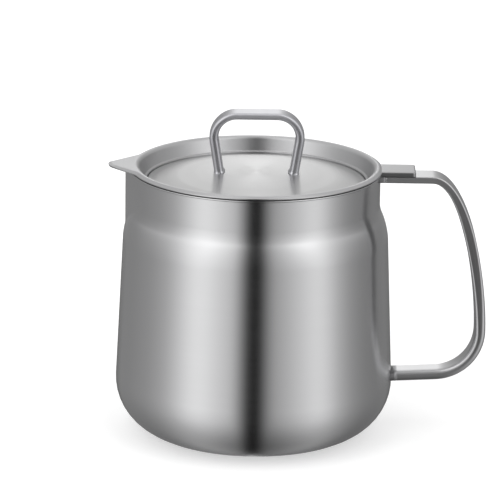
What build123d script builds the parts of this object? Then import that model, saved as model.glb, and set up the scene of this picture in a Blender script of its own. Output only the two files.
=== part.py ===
from build123d import *
import math
import os

# Grease container: a pouring pot, a strainer that hangs in its mouth and a recessed lid with a loop.
# Frame: millimetres, origin on the table under the pot's axis, +X towards the handle, +Z up.

# Pot shell, outside sizes.
pot_height = 136.25         # table to the top of the turned-out rim
pot_sheet = 0.8
neck_radius = 62.1
shoulder_height = 107.3     # where the wall's line meets the shoulder's line
shoulder_rise = 9.2         # from there up to the neck's line
shoulder_step = 4.3         # the shoulder's foot stands this far outside the neck
wall_spread = 4.8           # and the wall, carried on down to the table, this far outside that
base_corner_radius = 27.5
shoulder_foot_blend = 32.0
shoulder_neck_blend = 14.0
rim_turn_out = 0.6          # the rim stands this far outside the neck
rim_edge_round = 0.3
rim_mouth_round = 0.5

# Pouring lip, pressed out of the neck on the side away from the handle.
lip_reach = 3.5             # beyond the neck
lip_nose_radius = 10.0
lip_foot_drop = 8.0         # the channel runs out this far below the shoulder's foot

# Pot handle, a tube that is flattened towards its top end.
handle_top_drop = 1.55      # the rim's top to the top face of the handle
handle_top_thickness = 3.5
handle_top_width = 14.3
handle_top_run = 26.0       # straight stretch outside the neck
grip_reach = 52.0           # neck to the grip's centre line, at its furthest
grip_thickness = 5.3
grip_width = 13.2
grip_low_height = 54.0      # table to where the grip is upright
top_bend_pull = 17.0        # how far the top bend keeps to the top run's line
grip_bend_pull = 26.5       # how far the grip keeps to the upright line
low_bend_radius = 23.2
leg_slope = 3.0             # degrees
leg_thickness = 5.6
leg_width = 12.6
handle_tube_wall = 0.8
flat_corner_share = 0.3     # corner radius as a share of the thickness, at the flat end
oval_corner_share = 0.48    # and at the leg
full_bend_share = 0.45      # the tube has its grip thickness from this far round the top bend

# Strainer rim: flange, beak, collar, lid seat and cup in one sheet.
strainer_sheet = 1.0
flange_overhang = 0.3       # beyond the pot's rim
flange_width = 3.15
flange_edge_drop = 0.75     # the round edge is turned down this far below the plate and rests on the rim
flange_edge_width = 1.0
flange_top_round = 0.75
flange_foot_round = 0.15
collar_depth = 7.25
collar_draw_in = 3.85       # the collar narrows this much over its depth
seat_depth = 1.65
ledge_width = 4.5
cup_depth = 20.0            # below the ledge
cup_draw_in = 1.5
cup_floor_width = 4.5
flange_bend = 1.5
seat_edge_bend = 1.5
seat_corner_bend = 0.4
cup_bend = 1.8
cup_floor_bend = 1.5
beak_reach = 11.2           # beyond the flange
beak_half_angle = 48.0      # degrees, each side
beak_tip_radius = 8.4
beak_root_blend = 14.0

# Strainer tab, a folded channel that reaches over the pot handle.
tab_sheet = 0.8
tab_width = 17.0
tab_length = 16.5           # beyond the flange
tab_drop = 0.8              # below the flange's top
tab_clearance = 0.3         # between its feet and the pot handle
tab_corner_round = 1.2
tab_edge_round = 0.7

# Strainer mesh and its ring.
mesh_thickness = 0.4
mesh_hold = 2.2             # how far the mesh reaches under the cup's floor
mesh_edge_clearance = 0.2
ring_sheet = 0.8
ring_width = 3.4

# Lid plate.
lid_sheet = 0.8
lid_seat_clearance = 0.4
brim_width = 2.0
brim_bend = 3.0
dome_rise = 5.0

# Lid loop, a bar that is pressed flatter and wider over its top.
loop_leg_width = 9.2
loop_leg_thickness = 4.6
loop_top_width = 12.0
loop_top_thickness = 3.4
loop_corner_share = 0.4     # corner radius as a share of the thickness
loop_foot_half_span = 18.8
loop_top_half_span = 23.5   # to the corners of its centre line
loop_height = 29.0          # the dome's crown to the centre line of the bar
loop_bend_radius = 11.0

bar_stations = 49           # sections along the handle and along the loop


def sheet_ring(points, bends, thickness):
    """Ring of sheet metal round Z: a bent line of (radius, height), thickened on its outer side."""
    line = FilletPolyline(*points, radius=bends)
    section = make_face(offset(line, amount=thickness, side=Side.RIGHT))
    return revolve(Plane.XZ * section, Axis.Z)


def turned_solid(line, top):
    """Solid round Z under a line of (radius, height) that starts and ends on the axis or at the top."""
    start = line @ 0
    end = line @ 1
    section = make_face([line, Line(end, (0, top)), Line((0, top), start)])
    return revolve(Plane.XZ * section, Axis.Z)


def lip_prism(growth, bottom, top):
    """Upright prism of the neck with its pouring lip, its outline grown outwards."""
    nose_centre = neck_radius + lip_reach - lip_nose_radius
    neck = Circle(neck_radius + growth)
    nose = Pos(-nose_centre, 0) * Circle(lip_nose_radius + growth)
    outline = make_hull(neck.edges() + nose.edges())
    return Pos(0, 0, bottom) * extrude(outline, top - bottom)


def eased(start, end, share):
    """Smooth step from one value to another, flat at both ends."""
    share = min(1.0, max(0.0, share))
    return start + (end - start) * share * share * (3 - 2 * share)


def save(shape, node):
    export_step(shape, f"parts/{node}.step")


os.makedirs("parts", exist_ok=True)

# ---- Pot shell -------------------------------------------------------------------------------------

shoulder_radius = neck_radius + shoulder_step
base_radius = shoulder_radius + wall_spread
pot_line = FilletPolyline(
    (0, 0),
    (base_radius, 0),
    (shoulder_radius, shoulder_height),
    (neck_radius, shoulder_height + shoulder_rise),
    (neck_radius, pot_height),
    radius=[base_corner_radius, shoulder_foot_blend, shoulder_neck_blend],
)
pot_inner_line = offset(pot_line, amount=pot_sheet, side=Side.LEFT, closed=False)
lip_foot_height = shoulder_height - lip_foot_drop

pot_outside = turned_solid(pot_line, pot_height)
pot_outside += lip_prism(0, lip_foot_height, pot_height)
pot_inside = turned_solid(pot_inner_line.wire(), pot_height)
pot_inside += lip_prism(-pot_sheet, lip_foot_height + pot_sheet, pot_height)
rim = lip_prism(rim_turn_out, pot_height - pot_sheet, pot_height)
rim = fillet(rim.edges().filter_by(GeomType.LINE, reverse=True).filter_by(Plane.XY), rim_edge_round)

pot_shell = pot_outside + rim - pot_inside
rim_top = pot_shell.faces().filter_by(Plane.XY).sort_by(Axis.Z)[-1]
pot_shell = fillet(rim_top.inner_wires().edges(), rim_mouth_round)
save(pot_shell, "pot_shell")

# ---- Pot handle ------------------------------------------------------------------------------------

handle_top_height = pot_height - handle_top_drop
handle_line_height = handle_top_height - handle_top_thickness / 2
top_bend_start = neck_radius + handle_top_run
grip_x = neck_radius + grip_reach
top_run = Line((neck_radius - pot_sheet, handle_line_height), (top_bend_start, handle_line_height))
top_bend = Bezier(
    top_run @ 1,
    (top_bend_start + top_bend_pull, handle_line_height),
    (grip_x, grip_low_height + grip_bend_pull),
    (grip_x, grip_low_height),
)
low_bend = JernArc(top_bend @ 1, (0, -1), low_bend_radius, leg_slope - 90)
leg_direction = low_bend % 1
leg_run = (low_bend @ 1).X - shoulder_radius
leg = Line(low_bend @ 1, low_bend @ 1 + leg_direction * leg_run)
handle_line = Plane.XZ * Wire([top_run, top_bend, low_bend, leg])

# The tube is flat over the top run, opens in the top bend and rounds off towards the leg.
length = handle_line.length
flat_end = top_run.length / length
grip_start = flat_end + full_bend_share * top_bend.length / length
leg_start = 1 - leg.length / length


def handle_section(share, inset):
    """Rounded rectangle across the handle's line, inset by a wall."""
    opening = (share - flat_end) / (grip_start - flat_end)
    rounding = (share - grip_start) / (leg_start - grip_start)
    thickness = eased(handle_top_thickness, grip_thickness, opening)
    thickness = eased(thickness, leg_thickness, rounding)
    width = eased(handle_top_width, grip_width, opening)
    width = eased(width, leg_width, rounding)
    corner = thickness * eased(flat_corner_share, oval_corner_share, rounding)
    place = Plane(origin=handle_line @ share, x_dir=(0, 1, 0), z_dir=handle_line % share)
    flat = RectangleRounded(width - 2 * inset, thickness - 2 * inset, corner - inset)
    return place * flat


shares = [station / (bar_stations - 1) for station in range(bar_stations)]
handle_outside = loft([handle_section(share, 0) for share in shares]) - pot_outside
handle_inside = loft([handle_section(share, handle_tube_wall) for share in shares]) - pot_outside
pot_handle = handle_outside - handle_inside
save(pot_handle, "pot_handle")

# ---- Strainer rim ----------------------------------------------------------------------------------

flange_top = pot_height + flange_edge_drop + strainer_sheet
cutter_height = 3 * flange_top  # a cutter on the axis runs past everything, above and below
flange_radius = neck_radius + rim_turn_out + flange_overhang
collar_top_radius = flange_radius - flange_width
plate_inner_radius = collar_top_radius + flange_bend
seat_radius = collar_top_radius - collar_draw_in
ledge_height = flange_top - collar_depth - seat_depth
ledge_inner_radius = seat_radius - ledge_width
cup_floor_height = ledge_height - cup_depth
cup_radius = ledge_inner_radius - cup_draw_in
cup_mouth_radius = cup_radius - cup_floor_width
strainer_rim = sheet_ring(
    [
        (cup_mouth_radius, cup_floor_height),
        (cup_radius, cup_floor_height),
        (ledge_inner_radius, ledge_height),
        (seat_radius, ledge_height),
        (seat_radius, flange_top - collar_depth),
        (collar_top_radius, flange_top),
        (plate_inner_radius, flange_top),
    ],
    [cup_floor_bend, cup_bend, seat_corner_bend, seat_edge_bend, flange_bend],
    strainer_sheet,
)
beak_tip_centre = flange_radius + beak_reach - beak_tip_radius
beak_apex = beak_tip_centre + beak_tip_radius / math.sin(math.radians(beak_half_angle))
beak_half_base = flange_radius / 2  # the beak's outline starts well inside the round flange
beak_base = beak_apex - beak_half_base / math.tan(math.radians(beak_half_angle))
beak = make_face(
    Polyline((-beak_apex, 0), (-beak_base, beak_half_base), (-beak_base, -beak_half_base), close=True)
)
beak = fillet(beak.vertices().sort_by(Axis.X)[0], beak_tip_radius)
flange_outline = Circle(flange_radius) + beak
beak_roots = flange_outline.vertices().sort_by(Axis.X)[-2:]
flange_outline = fillet(beak_roots, beak_root_blend)
flange_plate = Pos(0, 0, flange_top - strainer_sheet) * extrude(flange_outline, strainer_sheet)
flange_faces = flange_plate.faces().filter_by(Plane.XY).sort_by(Axis.Z)
flange_plate = fillet(flange_faces[-1].edges(), flange_top_round)
flange_faces = flange_plate.faces().filter_by(Plane.XY).sort_by(Axis.Z)
flange_plate = fillet(flange_faces[0].edges(), flange_foot_round)
strainer_rim += flange_plate - Cylinder(plate_inner_radius, cutter_height)
hanging = (Align.CENTER, Align.CENTER, Align.MIN)
edge_height = flange_edge_drop + strainer_sheet / 5
flange_edge = Cylinder(flange_radius, edge_height, align=hanging)
flange_edge -= Cylinder(flange_radius - flange_edge_width, edge_height, align=hanging)
strainer_rim += Pos(0, 0, pot_height) * flange_edge
save(strainer_rim, "strainer_rim")

# ---- Strainer tab ----------------------------------------------------------------------------------

tab_top = flange_top - tab_drop
tab_foot = handle_top_height + tab_clearance
tab_end = flange_radius + tab_length
tab_height = tab_top - tab_foot
outwards = (Align.MIN, Align.CENTER, Align.MAX)
tab_block = Box(tab_end, tab_width, tab_height, align=outwards)
tab_end_corners = tab_block.edges().filter_by(Axis.Z).group_by(Axis.X)[-1]
tab_block = fillet(tab_end_corners, tab_corner_round)
tab_block = fillet(tab_block.faces().sort_by(Axis.Z)[-1].edges(), tab_edge_round)
tab_hollow = Box(tab_end - tab_sheet, tab_width - 2 * tab_sheet, tab_height, align=outwards)
strainer_tab = Pos(0, 0, tab_top) * tab_block
strainer_tab -= Pos(0, 0, tab_top - tab_sheet) * tab_hollow
strainer_tab -= Cylinder(flange_radius, cutter_height)
save(strainer_tab, "strainer_tab")

# ---- Strainer mesh and ring ------------------------------------------------------------------------

mesh_radius = cup_mouth_radius + mesh_hold
mesh_top = cup_floor_height - strainer_sheet
lower = (Align.CENTER, Align.CENTER, Align.MAX)
strainer_mesh = Pos(0, 0, mesh_top) * Cylinder(mesh_radius, mesh_thickness, align=lower)
save(strainer_mesh, "strainer_mesh")

ring_radius = cup_mouth_radius + ring_width
mesh_ring = Pos(0, 0, mesh_top) * Cylinder(ring_radius, mesh_thickness + ring_sheet, align=lower)
mesh_ring -= Pos(0, 0, mesh_top) * Cylinder(mesh_radius + mesh_edge_clearance, mesh_thickness, align=lower)
mesh_ring -= Cylinder(cup_mouth_radius, cutter_height)
save(mesh_ring, "mesh_ring")

# ---- Lid plate -------------------------------------------------------------------------------------

lid_radius = seat_radius - lid_seat_clearance
dome_radius = lid_radius - brim_width
brim_top = ledge_height + lid_sheet
crown = brim_top + dome_rise
dome_line = TangentArc((0, crown), (dome_radius, brim_top), tangent=(1, 0))
lid_line = Wire([dome_line, Line((dome_radius, brim_top), (lid_radius, brim_top))])
lid_under_line = Pos(0, -lid_sheet) * lid_line
lid_edge = Line(lid_line @ 1, lid_under_line @ 1)
lid_axis = Line(lid_line @ 0, lid_under_line @ 0)
lid_plate = revolve(Plane.XZ * make_face([lid_line, lid_edge, lid_under_line, lid_axis]), Axis.Z)
brim_bends = lid_plate.edges().filter_by(GeomType.CIRCLE).group_by(SortBy.RADIUS)[0]
lid_plate = fillet(brim_bends, brim_bend)
save(lid_plate, "lid_plate")

# ---- Lid loop --------------------------------------------------------------------------------------

loop_line_height = crown + loop_height
loop_lean = (loop_top_half_span - loop_foot_half_span) / loop_height
foot_x = loop_foot_half_span - loop_lean * dome_rise
loop_line = FilletPolyline(
    (-foot_x, brim_top),
    (-loop_top_half_span, loop_line_height),
    (loop_top_half_span, loop_line_height),
    (foot_x, brim_top),
    radius=loop_bend_radius,
)
loop_line = Plane.XZ * loop_line
loop_leg = loop_line.edges().filter_by(GeomType.LINE).sort_by(Axis.X)[0]
loop_leg_share = loop_leg.length / loop_line.length


def loop_section(share):
    """Rounded rectangle across the loop's line, flatter from a quarter of the way past each leg."""
    pressing = (min(share, 1 - share) - loop_leg_share) / (0.25 - loop_leg_share / 2)
    width = eased(loop_leg_width, loop_top_width, pressing)
    thickness = eased(loop_leg_thickness, loop_top_thickness, pressing)
    place = Plane(origin=loop_line @ share, x_dir=(0, 1, 0), z_dir=loop_line % share)
    return place * RectangleRounded(width, thickness, thickness * loop_corner_share)


under_dome = turned_solid(lid_line, 0)
lid_loop = loft([loop_section(share) for share in shares]) - under_dome
save(lid_loop, "lid_loop")
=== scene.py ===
import bmesh
import bpy
import math
from mathutils import Matrix, Vector, geometry


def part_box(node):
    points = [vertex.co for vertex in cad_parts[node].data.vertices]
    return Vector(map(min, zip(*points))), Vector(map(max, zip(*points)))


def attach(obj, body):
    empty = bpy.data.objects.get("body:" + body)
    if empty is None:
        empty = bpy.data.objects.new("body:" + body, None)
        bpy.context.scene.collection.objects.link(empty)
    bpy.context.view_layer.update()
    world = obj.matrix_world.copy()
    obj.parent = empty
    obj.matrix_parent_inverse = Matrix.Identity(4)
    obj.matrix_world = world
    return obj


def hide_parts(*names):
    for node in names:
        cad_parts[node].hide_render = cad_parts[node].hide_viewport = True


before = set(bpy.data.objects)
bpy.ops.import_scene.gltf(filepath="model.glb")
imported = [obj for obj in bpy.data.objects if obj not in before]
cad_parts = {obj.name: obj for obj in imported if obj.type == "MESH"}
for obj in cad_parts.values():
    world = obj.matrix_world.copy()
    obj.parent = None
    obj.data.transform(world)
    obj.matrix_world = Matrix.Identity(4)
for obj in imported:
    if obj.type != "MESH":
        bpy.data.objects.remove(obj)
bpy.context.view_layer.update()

# ---- Camera ------------------------------------------------------------------------------------------
# A long lens, 1.8 m from the pot, that looks down on it by 16 degrees. The aim point lies a little above
# the middle of the pot, and the camera leans by less than a degree.

camera_place = Vector((0, -1.7229, 0.5830))
camera_aim = Vector((-0.0027, 0.0088, 0.0911))
camera_roll = math.radians(0.84)
lens_mm = 256.1

camera = bpy.data.objects.new("camera", bpy.data.cameras.new("camera"))
bpy.context.collection.objects.link(camera)
camera.data.lens = lens_mm
camera.location = camera_place
looking = (camera_aim - camera_place).to_track_quat("-Z", "Y").to_matrix()
camera.rotation_euler = (looking @ Matrix.Rotation(camera_roll, 3, "Z")).to_euler()
bpy.context.scene.camera = camera

# ---- Pot shell ---------------------------------------------------------------------------------------
# The body of the pot: one deep-drawn stainless sheet with a large rounded foot, a slightly tapered wall,
# a pressed shoulder and a straight neck. A pouring lip is pressed out of the neck opposite the handle,
# and the mouth is turned out. It is brushed round its axis while it spins on a mandrel.

pot_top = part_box("pot_shell")[1][2]
pot_sheet = 0.0008
neck_radius = 0.0621
shoulder_radius = 0.0664
shoulder_height = 0.1073
shoulder_rise = 0.0092
wall_spread = 0.0048
base_corner = 0.0275
shoulder_foot_bend = 0.032
shoulder_neck_bend = 0.014
rim_turn_out = 0.0006
rim_bend = 0.0003
rim_edge = 0.00038
rim_joint = 0.0004          # the dark joint between the rounded rim and the strainer's flange
lip_reach = 0.0035
lip_nose = 0.010

steps_round = 360           # so fine that the lip's nose and the beak's tip look round
row_spacing = 0.004         # the longest stretch of a turned line without a row of vertices
bend_rows = 12              # rows of faces in each bend of a turned line
snap = 0.000001             # places closer than this count as the same


def choose(piece, kind, wanted):
    """Selects, in edit mode, only the wanted verts, edges or faces, and says how many they are."""
    bpy.ops.mesh.select_mode(type={"verts": "VERT", "edges": "EDGE", "faces": "FACE"}[kind])
    bpy.ops.mesh.select_all(action="DESELECT")
    mesh = bmesh.from_edit_mesh(piece.data)
    chosen = [part for part in getattr(mesh, kind) if wanted(part)]
    for part in chosen:
        part.select_set(True)
    mesh.select_flush_mode()
    bmesh.update_edit_mesh(piece.data)
    return len(chosen)


def turned_skin(name, line):
    """Skin turned round the pot's axis, without thickness yet.

    line runs outwards from the axis or the inner edge, as (radius, height, bend radius). The normals
    point to the line's left: up on a flat stretch, inwards on a wall.
    """
    bpy.ops.object.select_all(action="DESELECT")
    bpy.ops.mesh.primitive_plane_add(size=row_spacing)
    piece = bpy.context.object
    piece.name = name
    bpy.ops.object.mode_set(mode="EDIT")
    bpy.ops.mesh.select_mode(type="VERT")
    bpy.ops.mesh.merge(type="CENTER")
    places = [Vector((radius, 0, height)) for radius, height, bend in line]
    bpy.ops.transform.translate(value=places[0])
    for here, there in zip(places, places[1:]):
        bpy.ops.mesh.extrude_vertices_move(TRANSFORM_OT_translate={"value": there - here})
    for before, place, after, corner in zip(places, places[1:], places[2:], line[1:]):
        bend = corner[2]
        if bend:
            turn = (place - before).angle(after - place)
            choose(piece, "verts", lambda vertex: (vertex.co - place).length < snap)
            bpy.ops.mesh.bevel(offset=bend * math.tan(turn / 2), segments=bend_rows, affect="VERTICES")
    while choose(piece, "edges", lambda edge: edge.calc_length() > row_spacing):
        bpy.ops.mesh.subdivide()
    bpy.ops.mesh.select_all(action="SELECT")
    bpy.ops.mesh.spin(steps=steps_round, angle=math.tau, center=(0, 0, 0), axis=(0, 0, 1))
    bpy.ops.mesh.select_all(action="SELECT")
    bpy.ops.mesh.remove_doubles(threshold=snap)
    bpy.ops.mesh.normals_make_consistent(inside=False)
    bpy.ops.object.mode_set(mode="OBJECT")
    run = places[1] - places[0]
    middle = (places[0] + places[1]) / 2
    nearest = min(piece.data.polygons, key=lambda face: (face.center - middle).length)
    if nearest.normal.dot(Vector((-run.z, 0, run.x))) < 0:
        piece.data.flip_normals()
    return piece


def push_out(piece, outline):
    """Moves vertices away from the axis to outline(angle from -X, radius, height)."""
    for vertex in piece.data.vertices:
        radius = vertex.co.xy.length
        if radius > snap:
            angle = abs(math.atan2(vertex.co.y, -vertex.co.x))
            vertex.co.xy *= outline(angle, radius, vertex.co.z) / radius


def apply_modifier(piece, kind, **settings):
    modifier = piece.modifiers.new(kind.lower(), kind)
    for setting, value in settings.items():
        setattr(modifier, setting, value)
    bpy.context.view_layer.objects.active = piece
    bpy.ops.object.modifier_apply(modifier=modifier.name)


sheared_corner = math.radians(50)   # edges that turn by more than this are rounded


def finish_shape(piece, edge_round=0.0, edge_rows=3):
    """Rounds the sheared edges, turns all normals outwards and shades the piece smooth."""
    bpy.ops.object.select_all(action="DESELECT")
    piece.select_set(True)
    bpy.context.view_layer.objects.active = piece
    bpy.ops.object.mode_set(mode="EDIT")
    bpy.ops.mesh.select_all(action="SELECT")
    bpy.ops.mesh.normals_make_consistent(inside=False)
    bpy.ops.object.mode_set(mode="OBJECT")
    if edge_round:
        apply_modifier(piece, "BEVEL", width=edge_round, segments=edge_rows, limit_method="ANGLE",
                       angle_limit=sheared_corner)
    bpy.ops.object.shade_smooth()
    apply_modifier(piece, "WEIGHTED_NORMAL")


rim_height = pot_top - pot_sheet - rim_joint
lip_spread = math.acos((neck_radius - lip_nose) / (neck_radius + lip_reach - lip_nose))


def neck_outline(angle, radius, height):
    """The neck with its lip: a nose joined to the neck by straight sides."""
    nose_centre = neck_radius + lip_reach - lip_nose
    if angle >= lip_spread or height < shoulder_height - shoulder_rise:
        return radius
    side = neck_radius / math.cos(lip_spread - angle)
    nose = nose_centre * math.cos(angle) + math.sqrt(
        max(0, lip_nose ** 2 - (nose_centre * math.sin(angle)) ** 2))
    turned_out = radius - neck_radius if height > rim_height - rim_bend else 0
    on_nose = side * math.sin(lip_spread - angle) > nose_centre * math.sin(lip_spread)
    return max(radius, turned_out + (nose if on_nose else side))


pot_shell = turned_skin("pot_shell_drawn", [
    (0, 0, 0),
    (shoulder_radius + wall_spread, 0, base_corner),
    (shoulder_radius, shoulder_height, shoulder_foot_bend),
    (neck_radius, shoulder_height + shoulder_rise, shoulder_neck_bend),
    (neck_radius, rim_height, rim_bend),
    (neck_radius + rim_turn_out, rim_height, 0),
])
push_out(pot_shell, neck_outline)
apply_modifier(pot_shell, "SOLIDIFY", thickness=pot_sheet, offset=1, use_even_offset=True)
finish_shape(pot_shell, rim_edge)


def linear(colour):
    """Turns an sRGB hex value into the linear colour that a shader takes."""
    parts = [int(colour[place:place + 2], 16) / 255 for place in (1, 3, 5)]
    return [part / 12.92 if part <= 0.04045 else ((part + 0.055) / 1.055) ** 2.4 for part in parts] + [1]


def add_node(tree, kind, settings, inputs):
    """Adds a node. An input is a plain value, or the socket of another node that is linked to it."""
    node = tree.nodes.new("ShaderNode" + kind)
    for setting, value in settings.items():
        setattr(node, setting, value)
    for place, value in inputs.items():
        if isinstance(value, bpy.types.NodeSocket):
            tree.links.new(value, node.inputs[place])
        else:
            node.inputs[place].default_value = value
    return node


def new_material(name):
    """An empty material, with its tree and its output's surface socket."""
    material = bpy.data.materials.new(name)
    material.use_nodes = True
    material.node_tree.nodes.clear()
    output = add_node(material.node_tree, "OutputMaterial", {}, {})
    return material, material.node_tree, output.inputs["Surface"]


line_drift = 3.0            # how fast a brushed line changes along its own run, in steps per metre


def turned_grain(tree, pitch):
    """Brushing that runs round the axis: its direction, and the place to read its streaks at."""
    place = add_node(tree, "TexCoord", {}, {}).outputs["Object"]
    direction = add_node(tree, "VectorMath", {"operation": "CROSS_PRODUCT"}, {0: (0, 0, 1), 1: place})
    flat = add_node(tree, "VectorMath", {"operation": "MULTIPLY"}, {0: place, 1: (1, 1, 0)})
    radius = add_node(tree, "VectorMath", {"operation": "LENGTH"}, {0: flat.outputs[0]})
    height = add_node(tree, "SeparateXYZ", {}, {0: place}).outputs["Z"]
    across = add_node(tree, "Math", {"operation": "ADD"}, {0: radius.outputs["Value"], 1: height})
    fine = add_node(tree, "Math", {"operation": "DIVIDE"}, {0: across.outputs[0], 1: pitch})
    slow = add_node(tree, "VectorMath", {"operation": "SCALE"}, {0: flat.outputs[0], "Scale": line_drift})
    streak_place = add_node(tree, "VectorMath", {"operation": "ADD"}, {
        0: slow.outputs[0],
        1: add_node(tree, "CombineXYZ", {}, {"Z": fine.outputs[0]}).outputs[0],
    })
    return direction.outputs[0], streak_place.outputs[0]


line_detail = 3.0
line_roughness = 0.6        # how much the finest lines stand out among the others
patch_scale = 0.11          # the brushing is uneven in patches, each about nine lines wide
patch_share = 0.4
noise_low = 0.3             # the noise seldom leaves the range between these two
noise_high = 0.7
quarter_turn = 0.25         # turns the stretch of the highlights from along the lines to across them


def brushed_steel(name, grain, pitch, colour, roughness, spread, streaks, depth):
    """Stainless steel brushed one way.

    grain gives the brushing's direction, and pitch is the distance from line to line. spread is how much
    further a highlight runs across the lines, streaks is how much they change the roughness and the tone,
    and depth is their height in metres.
    """
    material, tree, surface = new_material(name)
    direction, streak_place = grain(tree, pitch)
    lines = add_node(tree, "TexNoise", {}, {
        "Vector": streak_place,
        "Scale": 1.0,
        "Detail": line_detail,
        "Roughness": line_roughness,
    })
    patches = add_node(tree, "TexNoise", {}, {"Vector": streak_place, "Scale": patch_scale})
    mixed = add_node(tree, "Mix", {"data_type": "FLOAT"}, {
        0: patch_share,
        2: lines.outputs["Fac"],
        3: patches.outputs["Fac"],
    })
    rough = add_node(tree, "MapRange", {}, {
        "Value": mixed.outputs[0],
        "From Min": noise_low,
        "From Max": noise_high,
        "To Min": roughness - streaks,
        "To Max": roughness + streaks,
    })
    light = linear(colour)
    dark = [part * (1 - streaks) for part in light[:3]] + [1]
    tint = add_node(tree, "Mix", {"data_type": "RGBA"}, {0: mixed.outputs[0], 6: light, 7: dark})
    bump = add_node(tree, "Bump", {}, {"Distance": depth, "Height": lines.outputs["Fac"]})
    steel = add_node(tree, "BsdfPrincipled", {}, {
        "Base Color": tint.outputs[2],
        "Metallic": 1.0,
        "Roughness": rough.outputs["Result"],
        "Anisotropic": spread,
        "Anisotropic Rotation": quarter_turn,
        "Tangent": direction,
        "Normal": bump.outputs["Normal"],
    })
    tree.links.new(steel.outputs[0], surface)
    return material


# Satin brushed stainless: the lines run round the pot, so every light is drawn out up and down the wall
# and stays narrow sideways. The real lines are 0.1 mm apart; here they are 1.8 mm, so that they show.
shell_steel = brushed_steel(
    "satin_brushed_stainless_shell", turned_grain, pitch=0.0018, colour="#c9c9ca",
    roughness=0.25, spread=0.92, streaks=0.02, depth=0.000001)
pot_shell.data.materials.append(shell_steel)
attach(pot_shell, "pot")
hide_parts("pot_shell")

# ---- Pot handle --------------------------------------------------------------------------------------
# A stainless tube, pressed nearly flat where it is welded to the neck and oval in the grip. It goes
# straight out under the strainer's tab, bends down over a long soft curve and comes back to the wall.

handle_top_drop = 0.00155
handle_top_thickness = 0.0035
handle_top_width = 0.0143
handle_top_run = 0.026
grip_reach = 0.05199
grip_thickness = 0.0053
grip_width = 0.0132
grip_low_height = 0.054
top_bend_pull = 0.017
grip_bend_pull = 0.0265
low_bend = 0.0232
leg_slope = math.radians(3)
leg_thickness = 0.0056
leg_width = 0.0126
flat_corner_share = 0.2
oval_corner_share = 0.48
full_bend_share = 0.45
weld_depth = 0.0004         # how far a welded end reaches into the sheet that it stands on

top_bend_points = 60
corner_points = 9           # points in each of a bar's four rounded corners
bend_step = math.radians(4)     # the most that a bar turns from one ring of points to the next


def swept_bar(name, route, section):
    """Bar drawn ring by ring along a route in the XZ plane.

    section(share of the length) gives its width across the route's plane, its thickness in that plane and
    its corners' radius. Each point keeps the bar's direction and its own place on the bar for the grain.
    """
    bpy.ops.object.select_all(action="DESELECT")
    bpy.ops.mesh.primitive_circle_add(vertices=4 * corner_points, fill_type="NGON")
    piece = bpy.context.object
    piece.name = name
    bpy.ops.object.mode_set(mode="EDIT")
    mesh = bmesh.from_edit_mesh(piece.data)
    number = mesh.verts.layers.int.new("number")
    for count, vertex in enumerate(mesh.verts):
        vertex[number] = count
    mesh.verts.layers.float_vector.new("grain")
    mesh.verts.layers.float_vector.new("bar_place")
    bmesh.update_edit_mesh(piece.data)
    lengths = [0]
    for here, there in zip(route, route[1:]):
        lengths.append(lengths[-1] + (there - here).length)
    for count, place in enumerate(route):
        if count:
            bpy.ops.mesh.extrude_edges_move()
        ahead = (route[min(count + 1, len(route) - 1)] - route[max(count - 1, 0)]).normalized()
        outwards = ahead.cross(Vector((0, 1, 0)))
        width, thickness, corner = section(lengths[count] / lengths[-1])
        mesh = bmesh.from_edit_mesh(piece.data)
        number = mesh.verts.layers.int["number"]
        grain = mesh.verts.layers.float_vector["grain"]
        bar_place = mesh.verts.layers.float_vector["bar_place"]
        for vertex in mesh.verts:
            if vertex.select:
                quarter, step = divmod(vertex[number], corner_points)
                turn = math.radians(90) * (quarter + step / (corner_points - 1))
                side = 1 if quarter in (0, 3) else -1
                face = 1 if quarter in (0, 1) else -1
                across = side * (width / 2 - corner) + corner * math.cos(turn)
                through = face * (thickness / 2 - corner) + corner * math.sin(turn)
                vertex.co = place + Vector((0, across, 0)) + outwards * through
                vertex[grain] = ahead
                vertex[bar_place] = (lengths[count], across, through)
        bmesh.update_edit_mesh(piece.data)
    bpy.ops.mesh.edge_face_add()
    bpy.ops.object.mode_set(mode="OBJECT")
    return piece


def straight(start, end):
    """Places along a straight run, without its last one."""
    count = max(1, math.ceil((end - start).length / row_spacing))
    return [start.lerp(end, step / count) for step in range(count)]


def arc(start, heading, radius, turn):
    """Places along an arc in the XZ plane, clockwise from the camera's side, without its last one."""
    centre = start + Vector((heading.z, 0, -heading.x)) * radius
    count = max(2, math.ceil(turn / bend_step))
    turns = [Matrix.Rotation(turn * step / count, 3, "Y") for step in range(count)]
    return [centre + part_turn @ (start - centre) for part_turn in turns]


def eased(start, end, share):
    """Smooth step from one value to another, flat at both ends."""
    share = min(1.0, max(0.0, share))
    return start + (end - start) * share * share * (3 - 2 * share)


handle_line = pot_top - handle_top_drop - handle_top_thickness / 2
bend_start = Vector((neck_radius + handle_top_run, 0, handle_line))
grip_start = Vector((neck_radius + grip_reach, 0, grip_low_height))
top_run = straight(Vector((neck_radius - weld_depth, 0, handle_line)), bend_start)
top_bend = geometry.interpolate_bezier(
    bend_start,
    bend_start + Vector((top_bend_pull, 0, 0)),
    grip_start + Vector((0, 0, grip_bend_pull)),
    grip_start,
    top_bend_points,
)[:-1]
low_turn = math.radians(90) - leg_slope
low_arc = arc(grip_start, Vector((0, 0, -1)), low_bend, low_turn)
leg_heading = Vector((-math.cos(leg_slope), 0, -math.sin(leg_slope)))
low_centre = grip_start - Vector((low_bend, 0, 0))
leg_start = low_centre + Matrix.Rotation(low_turn, 3, "Y") @ Vector((low_bend, 0, 0))
wall_there = shoulder_radius + wall_spread * (1 - leg_start.z / shoulder_height)
leg_end = leg_start + leg_heading * (leg_start.x - wall_there + weld_depth) / math.cos(leg_slope)
handle_route = top_run + top_bend + low_arc + straight(leg_start, leg_end) + [leg_end]


def route_length(places):
    return sum((there - here).length for here, there in zip(places, places[1:]))


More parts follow.
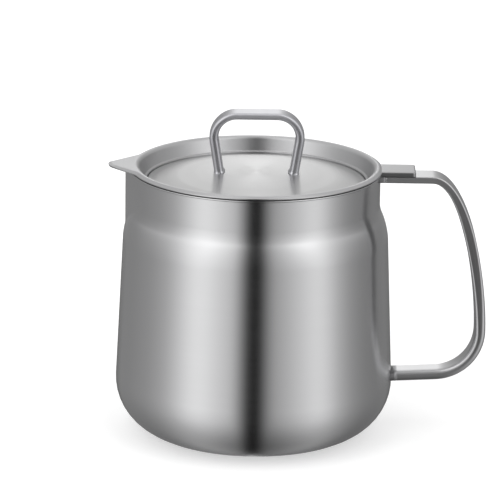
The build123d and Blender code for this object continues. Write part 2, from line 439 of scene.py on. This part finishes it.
handle_length = route_length(handle_route)
flat_end = route_length(top_run + [bend_start]) / handle_length
grip_share = flat_end + full_bend_share * route_length(top_bend) / handle_length
leg_share = 1 - route_length([leg_start, leg_end]) / handle_length


def handle_section(share):
    """Nearly flat up to the bend, an oblong in the grip and oval in the lower leg."""
    opening = (share - flat_end) / (grip_share - flat_end)
    rounding = (share - grip_share) / (leg_share - grip_share)
    width = eased(eased(handle_top_width, grip_width, opening), leg_width, rounding)
    thickness = eased(eased(handle_top_thickness, grip_thickness, opening), leg_thickness, rounding)
    return width, thickness, thickness * eased(flat_corner_share, oval_corner_share, rounding)


pot_handle = swept_bar("pot_handle_tube", handle_route, handle_section)
finish_shape(pot_handle)


def bar_grain(tree, pitch):
    """Brushing that runs round a bar: its direction, and the place to read its streaks at."""
    along = add_node(tree, "Attribute", {"attribute_name": "grain"}, {}).outputs["Vector"]
    outwards = add_node(tree, "NewGeometry", {}, {}).outputs["Normal"]
    direction = add_node(tree, "VectorMath", {"operation": "CROSS_PRODUCT"}, {0: along, 1: outwards})
    place = add_node(tree, "Attribute", {"attribute_name": "bar_place"}, {}).outputs["Vector"]
    drawn_out = (1 / pitch, line_drift, line_drift)
    streak_place = add_node(tree, "VectorMath", {"operation": "MULTIPLY"}, {0: place, 1: drawn_out})
    return direction.outputs[0], streak_place.outputs[0]


# Buffed satin stainless: ground round the tube on a belt and then buffed, so lights stretch only a little
# along it and each side keeps one soft grey. The lines are drawn 0.5 mm apart, five times the real pitch.
handle_steel = brushed_steel(
    "buffed_satin_stainless_handle", bar_grain, pitch=0.0005, colour="#bebebf",
    roughness=0.30, spread=0.4, streaks=0.02, depth=0.0000008)
pot_handle.data.materials.append(handle_steel)
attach(pot_handle, "pot")
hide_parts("pot_handle")

# ---- Strainer rim ------------------------------------------------------------------------------------
# One pressed stainless sheet that hangs in the pot's mouth: a flat flange with a pointed beak over the
# pouring lip, a collar that leads down to the lid's seat, and the cup that holds the mesh.

flange_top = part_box("strainer_rim")[1][2]
strainer_sheet = 0.001
flange_overhang = 0.0003
flange_width = 0.0038
flange_roll = 0.0017        # the outer part of the flange that is rolled down towards its edge
flange_roll_drop = 0.001
flange_roll_bend = 0.0014
flange_edge_bend = 0.0003
flange_edge_height = 0.0005
flange_edge_round = 0.0001
flange_bend = 0.0026
collar_depth = 0.00725
collar_draw_in = 0.0032
seat_step = 0.001           # the flat step round the lid
seat_step_bend = 0.0003
seat_depth = 0.00165
seat_edge_bend = 0.001
seat_corner_bend = 0.0004
ledge_width = 0.0045
cup_depth = 0.020
cup_draw_in = 0.0015
cup_floor_width = 0.0045
cup_bend = 0.0018
cup_floor_bend = 0.0015
beak_reach = 0.01117
beak_side = math.radians(42)    # how far each side's outward direction lies from the beak's axis
beak_tip = 0.0084
beak_root = 0.014
beak_thinning = 0.7         # share of the edge's drop that is gone at the beak's tip

flange_radius = neck_radius + rim_turn_out + flange_overhang
collar_radius = flange_radius - flange_width
seat_radius = collar_radius - collar_draw_in
seat_top = flange_top - collar_depth
ledge_height = seat_top - seat_depth
seat_wall = seat_radius - seat_step
ledge_inner = seat_radius - ledge_width
cup_radius = ledge_inner - cup_draw_in
cup_floor = ledge_height - cup_depth
cup_mouth = cup_radius - cup_floor_width

roll_start = flange_radius - flange_roll - flange_roll_bend * math.tan(
    math.atan2(flange_roll_drop, flange_roll) / 2)
tip_centre = flange_radius + beak_reach - beak_tip
side_distance = tip_centre * math.cos(beak_side) + beak_tip
root_distance = flange_radius + beak_root
root_angle = beak_side - math.acos((side_distance + beak_root) / root_distance)
side_end = math.atan2(beak_tip * math.sin(beak_side), tip_centre + beak_tip * math.cos(beak_side))
root_start = math.atan2(
    root_distance * math.sin(root_angle) - beak_root * math.sin(beak_side),
    root_distance * math.cos(root_angle) - beak_root * math.cos(beak_side),
)


def beak_outline(angle, radius, height):
    """The flange's edge with its beak: a round tip, straight sides and hollow roots."""
    if radius < roll_start - snap or angle >= root_angle:
        return radius
    if angle < side_end:
        edge = tip_centre * math.cos(angle) + math.sqrt(
            beak_tip ** 2 - (tip_centre * math.sin(angle)) ** 2)
    elif angle > root_start:
        edge = root_distance * math.cos(angle - root_angle) - math.sqrt(
            beak_root ** 2 - (root_distance * math.sin(angle - root_angle)) ** 2)
    else:
        edge = side_distance / math.cos(beak_side - angle)
    return radius + edge - flange_radius


strainer_rim = turned_skin("strainer_rim_pressed", [
    (cup_mouth, cup_floor, 0),
    (cup_radius, cup_floor, cup_floor_bend),
    (ledge_inner, ledge_height, cup_bend),
    (seat_wall, ledge_height, seat_corner_bend),
    (seat_wall, seat_top, seat_step_bend),
    (seat_radius, seat_top, seat_edge_bend),
    (collar_radius, flange_top, flange_bend),
    (flange_radius - flange_roll, flange_top, flange_roll_bend),
    (flange_radius, flange_top - flange_roll_drop, flange_edge_bend),
    (flange_radius, flange_top - flange_roll_drop - flange_edge_height, 0),
])
push_out(strainer_rim, beak_outline)

# The rolled edge fades out along the beak, which ends as a thin flat tip.
for vertex in strainer_rim.data.vertices:
    if vertex.co.xy.length > flange_radius:
        reached = (vertex.co.xy.length - flange_radius) / beak_reach
        vertex.co.z += beak_thinning * reached ** 2 * (flange_top - vertex.co.z)
apply_modifier(strainer_rim, "SOLIDIFY", thickness=strainer_sheet, offset=-1, use_even_offset=True)
finish_shape(strainer_rim, flange_edge_round, edge_rows=2)

# Satin brushed stainless, brushed round the axis like the pot but duller, so the flange is a soft grey
# band and only its edges are bright. The lines are drawn 0.5 mm apart, five times the real pitch.
rim_steel = brushed_steel(
    "satin_brushed_stainless_rim", turned_grain, pitch=0.0005, colour="#bcbcbd",
    roughness=0.36, spread=0.9, streaks=0.02, depth=0.000001)
strainer_rim.data.materials.append(rim_steel)
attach(strainer_rim, "strainer")
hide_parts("strainer_rim")

# ---- Strainer tab ------------------------------------------------------------------------------------
# A short channel folded from stainless sheet and welded to the flange's edge. It covers the start of the
# pot's handle, and the thumb holds it when the strainer is lifted out.

tab_low, tab_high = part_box("strainer_tab")
tab_sheet = 0.0008
tab_corner = 0.0014
tab_corner_rows = 6
tab_edge = 0.0007
tab_edge_rows = 5
tab_sheet_round = 0.00015
tab_overlap = 0.0009        # how far the tab reaches in under the flange's rolled edge
tab_root = flange_radius - tab_overlap
tab_strips = 6              # strips that the tab is cut into, so that its root can follow the flange
facing = 0.9                # a face points down or inwards when its normal has this share of that way

bpy.ops.object.select_all(action="DESELECT")
bpy.ops.mesh.primitive_cube_add(size=1)
strainer_tab = bpy.context.object
strainer_tab.name = "strainer_tab_folded"
tab_size = Vector(tab_high) - Vector((tab_root, tab_low[1], tab_low[2]))
bpy.ops.object.mode_set(mode="EDIT")
bpy.ops.transform.resize(value=tab_size)
bpy.ops.transform.translate(value=Vector(tab_high) - tab_size / 2)
choose(strainer_tab, "edges", lambda edge: all(vertex.co.x > flange_radius for vertex in edge.verts)
       and edge.calc_length() < tab_size.z + snap)
bpy.ops.mesh.bevel(offset=tab_corner, segments=tab_corner_rows)
choose(strainer_tab, "edges", lambda edge: all(vertex.co.z > tab_high[2] - snap for vertex in edge.verts)
       and not all(vertex.co.x < flange_radius for vertex in edge.verts))
bpy.ops.mesh.bevel(offset=tab_edge, segments=tab_edge_rows)
choose(strainer_tab, "faces", lambda face: min(face.normal.x, face.normal.z) < -facing)
bpy.ops.mesh.delete(type="FACE")
for cut in range(1 - tab_strips // 2, tab_strips // 2):
    bpy.ops.mesh.select_all(action="SELECT")
    bpy.ops.mesh.bisect(plane_co=(0, cut * tab_size.y / tab_strips, 0), plane_no=(0, 1, 0))
bpy.ops.object.mode_set(mode="OBJECT")
for vertex in strainer_tab.data.vertices:
    if vertex.co.x < flange_radius:
        vertex.co.x = math.sqrt(tab_root ** 2 - vertex.co.y ** 2)
apply_modifier(strainer_tab, "SOLIDIFY", thickness=tab_sheet, offset=-1, use_even_offset=True)
finish_shape(strainer_tab, tab_sheet_round, edge_rows=2)


def straight_grain(tree, pitch):
    """Brushing that runs along X: its direction, and the place to read its streaks at."""
    place = add_node(tree, "TexCoord", {}, {}).outputs["Object"]
    direction = add_node(tree, "CombineXYZ", {}, {"X": 1.0}).outputs[0]
    drawn_out = (line_drift, 1 / pitch, 1 / pitch)
    streak_place = add_node(tree, "VectorMath", {"operation": "MULTIPLY"}, {0: place, 1: drawn_out})
    return direction, streak_place.outputs[0]


# Brushed stainless: ground along the tab and left unbuffed, so it is a flat grey, darker than the flange
# beside it. The lines are drawn 0.5 mm apart, five times the real pitch.
tab_steel = brushed_steel(
    "brushed_stainless_tab", straight_grain, pitch=0.0005, colour="#9c9c9d",
    roughness=0.34, spread=0.5, streaks=0.03, depth=0.000003)
strainer_tab.data.materials.append(tab_steel)
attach(strainer_tab, "strainer")
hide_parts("strainer_tab")

# ---- Strainer mesh -----------------------------------------------------------------------------------
# A disc of plain-woven stainless wire that catches the crumbs. The wires are 0.2 mm thick and 1.1 mm apart,
# and each goes over one crossing wire and under the next.

mesh_low, mesh_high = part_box("strainer_mesh")
wire_pitch = 0.0011
wire_radius = (mesh_high[2] - mesh_low[2]) / 4      # the mesh is as thick as two crossed wires
mesh_radius = mesh_high[0] - wire_radius
mesh_middle = (mesh_low[2] + mesh_high[2]) / 2

weave = bpy.data.curves.new("strainer_mesh_woven", "CURVE")
weave.dimensions = "3D"
weave.bevel_depth = wire_radius
weave.bevel_resolution = 0
wires = int(mesh_radius / wire_pitch)
for across in (False, True):
    for wire in range(-wires, wires + 1):
        side = wire * wire_pitch
        reach = int(math.sqrt(mesh_radius ** 2 - side ** 2) / wire_pitch)
        spline = weave.splines.new("POLY")
        spline.points.add(2 * reach)
        for point, crossing in zip(spline.points, range(-reach, reach + 1)):
            over = wire_radius if (wire + crossing + across) % 2 else -wire_radius
            along = crossing * wire_pitch
            place = (side, along) if across else (along, side)
            point.co = (*place, mesh_middle + over, 1)
bpy.ops.object.select_all(action="DESELECT")
weave_curve = bpy.data.objects.new("weave_curve", weave)
bpy.context.collection.objects.link(weave_curve)
weave_curve.select_set(True)
bpy.context.view_layer.objects.active = weave_curve
bpy.ops.object.convert(target="MESH")
strainer_mesh = bpy.context.object
strainer_mesh.name = "strainer_mesh_woven"
bpy.ops.object.shade_smooth()

# Drawn stainless wire: bright and smooth, with a faint change of tone every few millimetres, where hot
# fat has dulled it.
tone_spacing = 0.004
wire_bright = 0.29          # roughness where the wire is clean
wire_dull = 0.4             # and where it is dulled
wire_steel, wire_tree, wire_surface = new_material("drawn_stainless_wire")
wire_place = add_node(wire_tree, "TexCoord", {}, {}).outputs["Object"]
tone = add_node(wire_tree, "TexNoise", {}, {"Vector": wire_place, "Scale": 1 / tone_spacing})
wire_colour = add_node(wire_tree, "Mix", {"data_type": "RGBA"}, {
    0: tone.outputs["Fac"],
    6: linear("#a2a2a4"),
    7: linear("#8b8985"),
})
wire_rough = add_node(wire_tree, "MapRange", {}, {
    "Value": tone.outputs["Fac"],
    "To Min": wire_bright,
    "To Max": wire_dull,
})
wire_shader = add_node(wire_tree, "BsdfPrincipled", {}, {
    "Base Color": wire_colour.outputs[2],
    "Metallic": 1.0,
    "Roughness": wire_rough.outputs["Result"],
})
wire_tree.links.new(wire_shader.outputs[0], wire_surface)
strainer_mesh.data.materials.append(wire_steel)
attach(strainer_mesh, "strainer")
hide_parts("strainer_mesh")

# ---- Mesh ring ---------------------------------------------------------------------------------------
# A flat ring cut from stainless sheet. It is spot-welded under the cup's floor, and clamps the mesh's edge
# between the two.

ring_low, ring_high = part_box("mesh_ring")
ring_sheet = 0.0008
ring_edge_round = 0.0002
ring_outer = ring_high[0]
ring_inner = cup_mouth
mesh_ring = turned_skin("mesh_ring_folded", [
    (ring_inner, ring_low[2] + ring_sheet, 0),
    (ring_outer, ring_low[2] + ring_sheet, 0),
])
apply_modifier(mesh_ring, "SOLIDIFY", thickness=ring_sheet, offset=-1, use_even_offset=True)
finish_shape(mesh_ring, ring_edge_round, edge_rows=2)
mesh_ring.data.materials.append(rim_steel)
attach(mesh_ring, "strainer")
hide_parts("mesh_ring")

# ---- Lid plate ---------------------------------------------------------------------------------------
# A round stainless plate, slightly domed, with a narrow flat brim that lies on the strainer's ledge. It
# is brushed in fine rings, which draws each light out into a wedge that points at the middle.

lid_sheet = 0.0008
lid_edge_round = 0.0002
lid_clearance = 0.0004      # the gap all round between the lid and the strainer's seat
brim_width = 0.002
brim_bend = 0.003
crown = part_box("lid_plate")[1][2]
brim_top = ledge_height + lid_sheet
lid_radius = seat_wall - lid_clearance
slope_width = 0.0105        # outside the dome the plate falls more steeply to the brim
slope_drop = 0.0025
slope_bend = 0.05
slope_radius = lid_radius - brim_width
dome_radius = slope_radius - slope_width
dome_rise = crown - brim_top - slope_drop
dome_curve = (dome_radius ** 2 + dome_rise ** 2) / (2 * dome_rise)
dome_rows = 14

dome = []
for row in range(dome_rows):
    radius = dome_radius * row / dome_rows
    dome.append((radius, crown - dome_curve + math.sqrt(dome_curve ** 2 - radius ** 2), 0))
lid_plate = turned_skin("lid_plate_domed", dome + [
    (dome_radius, crown - dome_rise, slope_bend),
    (slope_radius, brim_top, brim_bend),
    (lid_radius, brim_top, 0),
])
apply_modifier(lid_plate, "SOLIDIFY", thickness=lid_sheet, offset=-1, use_even_offset=True)
finish_shape(lid_plate, lid_edge_round, edge_rows=2)

# Ring-brushed stainless: the lines run round the middle, so each light becomes a soft wedge. The lines are
# drawn 0.5 mm apart, five times the real pitch.
lid_steel = brushed_steel(
    "ring_brushed_stainless_lid", turned_grain, pitch=0.0005, colour="#c3c3c3",
    roughness=0.32, spread=0.95, streaks=0.03, depth=0.000003)
lid_plate.data.materials.append(lid_steel)
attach(lid_plate, "lid")
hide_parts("lid_plate")

# ---- Lid loop ----------------------------------------------------------------------------------------
# A flattened stainless bar bent into an arch that is a little wider at the top. Its two feet are welded
# to the plate, and each weld has left a small smooth flare.

loop_leg_width = 0.0092
loop_leg_thickness = 0.0046
loop_top_width = 0.012
loop_top_thickness = 0.0034
loop_corner_share = 0.4
loop_foot_span = 0.0188     # half the distance between the legs' middles, level with the plate's crown
loop_top_span = 0.0235      # and where they would meet the top
loop_bend = 0.0115
loop_flare = 0.0014         # how much wider a foot is where it is welded down
loop_flare_height = 0.0018
flare_steps = 4
loop_height = 0.1639        # of the middle of the bar over the top
loop_lean = (loop_top_span - loop_foot_span) / (loop_height - crown)

foot_height = crown - dome_curve + math.sqrt(dome_curve ** 2 - loop_foot_span ** 2) - weld_depth
foot_span = loop_foot_span - loop_lean * (crown - foot_height)
foot = Vector((-foot_span, 0, foot_height))
shoulder = Vector((-loop_top_span, 0, loop_height))
loop_leg_heading = (shoulder - foot).normalized()
leg_turn = loop_leg_heading.angle(Vector((1, 0, 0)))
bend_run = loop_bend * math.tan(leg_turn / 2)
left_bend = shoulder - loop_leg_heading * bend_run
right_bend = Vector((loop_top_span - bend_run, 0, loop_height))
right_leg_top = Vector((-left_bend.x, 0, left_bend.z))
flare_rows = [
    foot + loop_leg_heading * loop_flare_height * step / flare_steps
    for step in range(flare_steps + 1)
]
right_rows = [Vector((-place.x, 0, place.z)) for place in reversed(flare_rows)]
loop_route = (
    flare_rows[:-1]
    + straight(flare_rows[-1], left_bend)
    + arc(left_bend, loop_leg_heading, loop_bend, leg_turn)
    + straight(shoulder + Vector((bend_run, 0, 0)), right_bend)
    + arc(right_bend, Vector((1, 0, 0)), loop_bend, leg_turn)
    + straight(right_leg_top, right_rows[0])
    + right_rows
)
loop_length = route_length(loop_route)
loop_leg_share = (left_bend - foot).length / loop_length


def loop_section(share):
    """Thicker and narrower in the legs, pressed wider over the top, with a flare at each weld."""
    end_share = min(share, 1 - share)
    pressing = (end_share - loop_leg_share) / ((0.5 - loop_leg_share) / 2)
    flare = loop_flare * max(0, 1 - end_share * loop_length / loop_flare_height) ** 2
    width = eased(loop_leg_width, loop_top_width, pressing) + flare
    thickness = eased(loop_leg_thickness, loop_top_thickness, pressing) + flare
    return width, thickness, thickness * loop_corner_share


lid_loop = swept_bar("lid_loop_arched", loop_route, loop_section)
finish_shape(lid_loop)

# Buffed stainless: ground round the bar and buffed, so each side mirrors one light along its whole length
# and the rounded edges stay bright. The lines are drawn 0.5 mm apart, five times the real pitch.
loop_steel = brushed_steel(
    "buffed_stainless_loop", bar_grain, pitch=0.0005, colour="#c2c2c6",
    roughness=0.30, spread=0.9, streaks=0.02, depth=0.0000008)
lid_loop.data.materials.append(loop_steel)
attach(lid_loop, "lid")
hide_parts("lid_loop")

# ---- Table -------------------------------------------------------------------------------------------
# A plain pale table top. Camera rays see it as white as the background, and it keeps the pot's shadow.

table_side = 6.0
table_drop = 0.0002         # keeps the table clear of the pot's flat base
table_glow = 0.45           # light that the table adds for the camera alone, so that it ends up white

bpy.ops.object.select_all(action="DESELECT")
bpy.ops.mesh.primitive_plane_add(size=table_side, location=(0, 0, -table_drop))
table = bpy.context.object
table.name = "table"

# Matt white laminate: it shows no reflection of the pot, only its soft shadow.
table_white, table_tree, table_surface = new_material("matt_white_table")
table_ray = add_node(table_tree, "LightPath", {}, {}).outputs["Is Camera Ray"]
glow = add_node(table_tree, "Math", {"operation": "MULTIPLY"}, {0: table_ray, 1: table_glow})
matt = add_node(table_tree, "BsdfDiffuse", {}, {"Color": linear("#e0e0e0")})
glowing = add_node(table_tree, "Emission", {}, {"Strength": glow.outputs[0]})
top = add_node(table_tree, "AddShader", {}, {0: matt.outputs[0], 1: glowing.outputs[0]})
table_tree.links.new(top.outputs[0], table_surface)
table.data.materials.append(table_white)
table.visible_glossy = False

# ---- Studio light ------------------------------------------------------------------------------------
# A ring of soft light round the table: a tall strip to each side of the camera, a dark gap where the
# camera stands, grey cloth at the sides and a narrow bright slit far behind. Camera rays see plain white.

# Each strip: degrees from the camera's side towards the handle, brightness level with the table top, and
# brightness above.
strips = [
    (-180, 2.80, 2.20), (-178, 1.20, 1.45), (-175, 0.32, 1.10), (-168, 0.29, 0.90),
    (-158, 0.34, 0.82), (-135, 0.30, 0.80), (-100, 0.44, 0.90), (-84, 0.54, 1.05),
    (-69, 0.82, 1.45), (-54, 1.33, 1.90), (-42, 1.31, 1.90), (-30, 1.03, 1.45),
    (-19, 0.88, 1.15), (-12, 0.42, 0.60), (-6, 0.03, 0.06), (0, 0.0, 0.0),
    (5, 0.0, 0.02), (11, 0.32, 0.45), (18, 0.58, 0.80), (30, 0.74, 1.10),
    (43, 0.99, 1.75), (54, 1.18, 1.95), (63, 1.09, 1.65), (74, 0.72, 1.25),
    (88, 0.44, 0.95), (105, 0.32, 0.85), (135, 0.27, 0.80), (158, 0.30, 0.82),
    (168, 0.29, 0.90), (175, 0.32, 1.10), (178, 1.20, 1.45), (180, 2.80, 2.20),
]
dome_light = 2.8            # every colour on the ramps is a share of this

# A ray's height runs from -1, straight down, to 1, straight up. Its depth runs from -1 at the camera's
# side to 1 behind the pot.
upper_height = 0.6          # from here up only the brightness above counts
under_start = -0.3          # below this the ring is drawn in, so that the pot's foot mirrors the front
under_end = -0.9            # and here it is drawn in all the way
under_depth = 0.4           # share of a ray's depth that is left there
under_pull = 0.36           # how far the ring has moved towards the camera there
floor_share = 0.25          # share of the light that comes from straight below
back_start = 0.8            # painted shadow: the table behind the pot, as the metal mirrors it, is darkened between these two depths
back_end = 0.95
back_top = -0.15            # and between these two heights
back_low = -0.35

world = bpy.data.worlds.new("studio")
bpy.context.scene.world = world
world.use_nodes = True
sky = world.node_tree
sky.nodes.clear()


def light_ring(place_share, column):
    """A ramp round the table, through one column of the strips."""
    ring = add_node(sky, "ValToRGB", {}, {"Fac": place_share})
    ring.color_ramp.interpolation = "B_SPLINE"
    while len(ring.color_ramp.elements) < len(strips):
        ring.color_ramp.elements.new(0.5)
    for stop, strip in zip(ring.color_ramp.elements, strips):
        stop.position = strip[0] / 360 + 0.5
        stop.color = (strip[column] / dome_light,) * 3 + (1,)
    return ring.outputs["Color"]


ray = add_node(sky, "TexCoord", {}, {}).outputs["Generated"]
ray_parts = add_node(sky, "SeparateXYZ", {}, {0: ray})
ray_height = ray_parts.outputs["Z"]
ray_depth = ray_parts.outputs["Y"]
under = add_node(sky, "MapRange", {}, {
    "Value": ray_height,
    "From Min": under_start,
    "From Max": under_end,
}).outputs["Result"]
turned = add_node(sky, "MapRange", {}, {"Value": under, "To Min": -1.0, "To Max": -under_depth})
drawn_in = add_node(sky, "Math", {"operation": "MULTIPLY"}, {0: under, 1: under_pull})
front = add_node(sky, "Math", {"operation": "MULTIPLY_ADD"}, {
    0: ray_depth,
    1: turned.outputs["Result"],
    2: drawn_in.outputs[0],
})
bearing = add_node(sky, "Math", {"operation": "ARCTAN2"}, {
    0: ray_parts.outputs["X"],
    1: front.outputs[0],
})
turn_share = add_node(sky, "MapRange", {}, {
    "Value": bearing.outputs[0],
    "From Min": -math.pi,
    "From Max": math.pi,
}).outputs["Result"]
above = add_node(sky, "MapRange", {"interpolation_type": "SMOOTHSTEP"}, {
    "Value": ray_height,
    "From Min": 0.0,
    "From Max": upper_height,
})
below = add_node(sky, "MapRange", {}, {
    "Value": ray_height,
    "From Min": -1.0,
    "From Max": under_start,
    "To Min": floor_share,
    "To Max": 1.0,
})
# Painted shadow: low down behind the pot the studio light is darkened where the pot's own shadow would lie
# on the mirrored table.
behind = add_node(sky, "MapRange", {}, {
    "Value": ray_depth,
    "From Min": back_start,
    "From Max": back_end,
})
low_down = add_node(sky, "MapRange", {"interpolation_type": "SMOOTHSTEP"}, {
    "Value": ray_height,
    "From Min": back_top,
    "From Max": back_low,
})
painted_pot_shadow = add_node(sky, "Math", {"operation": "MULTIPLY"}, {
    0: behind.outputs["Result"],
    1: low_down.outputs["Result"],
})
table_light = add_node(sky, "MapRange", {}, {
    "Value": painted_pot_shadow.outputs[0],
    "To Min": below.outputs["Result"],
    "To Max": floor_share,
})
walls = add_node(sky, "Mix", {"data_type": "RGBA"}, {
    0: above.outputs["Result"],
    6: light_ring(turn_share, 1),
    7: light_ring(turn_share, 2),
})
lit = add_node(sky, "Math", {"operation": "MULTIPLY"}, {
    0: table_light.outputs["Result"],
    1: dome_light,
})
studio = add_node(sky, "Background", {}, {"Color": walls.outputs[2], "Strength": lit.outputs[0]})
white = add_node(sky, "Background", {}, {"Color": (1, 1, 1, 1), "Strength": 1.0})
camera_ray = add_node(sky, "LightPath", {}, {}).outputs["Is Camera Ray"]
seen = add_node(sky, "MixShader", {}, {0: camera_ray, 1: studio.outputs[0], 2: white.outputs[0]})
add_node(sky, "OutputWorld", {}, {"Surface": seen.outputs[0]})

bpy.context.scene.view_settings.view_transform = "Standard"
